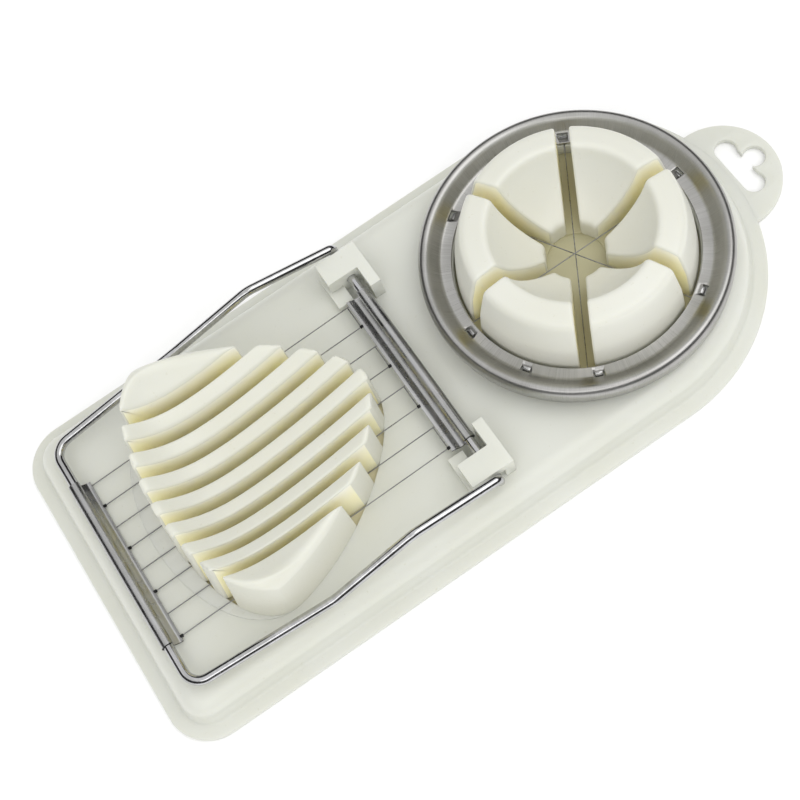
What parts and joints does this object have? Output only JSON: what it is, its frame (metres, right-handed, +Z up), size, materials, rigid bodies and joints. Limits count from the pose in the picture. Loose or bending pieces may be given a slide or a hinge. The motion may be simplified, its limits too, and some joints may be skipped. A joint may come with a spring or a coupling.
{
  "type": "egg slicer",
  "caption": "Egg slicer with a ribbed cradle under a hinged wire bow and a ring of petals under a loose wire cutter ring.",
  "frame": {"origin": "centre of the part's bounding box, on the surface that it stands on", "axes": "+Z up, +X along the part from the ribbed cradle towards the petals and the hanging tab"},
  "size_m": [0.218, 0.1, 0.0348],
  "materials": {
    "moulded_plastic": "soft gloss, slightly translucent",
    "polished_rod": "polished",
    "pressed_sheet": "rolled sheet, bright",
    "cutting_wire": "drawn wire"
  },
  "bodies": {
    "base": {"body_shell": "moulded_plastic", "hanging_tab": "moulded_plastic", "slicing_cradle": "moulded_plastic", "wedge_cradle": "moulded_plastic", "hinge_block_far": "moulded_plastic", "hinge_block_near": "moulded_plastic"},
    "bow": {"bow_frame": "polished_rod", "hinge_bar": "polished_rod", "front_wire_clamp": "pressed_sheet", "hinge_wire_clamp": "pressed_sheet", "slicing_wire_1": "cutting_wire", "slicing_wire_2": "cutting_wire", "slicing_wire_3": "cutting_wire", "slicing_wire_4": "cutting_wire"},
    "ring": {"cutter_ring": "pressed_sheet", "wedge_wire_1": "cutting_wire", "wedge_wire_2": "cutting_wire", "wedge_wire_3": "cutting_wire"}
  },
  "joints": [
    {"name": "bow_hinge", "type": "hinge", "parent": "base", "child": "bow", "pos_m": [-0.0066, 0, 0.0144], "axis": [0, 1, 0], "range_deg": [0, 105]},
    {"name": "ring_lift", "type": "slide", "parent": "base", "child": "ring", "axis": [0, 0, 1], "range_m": [0, 0.025]}
  ]
}
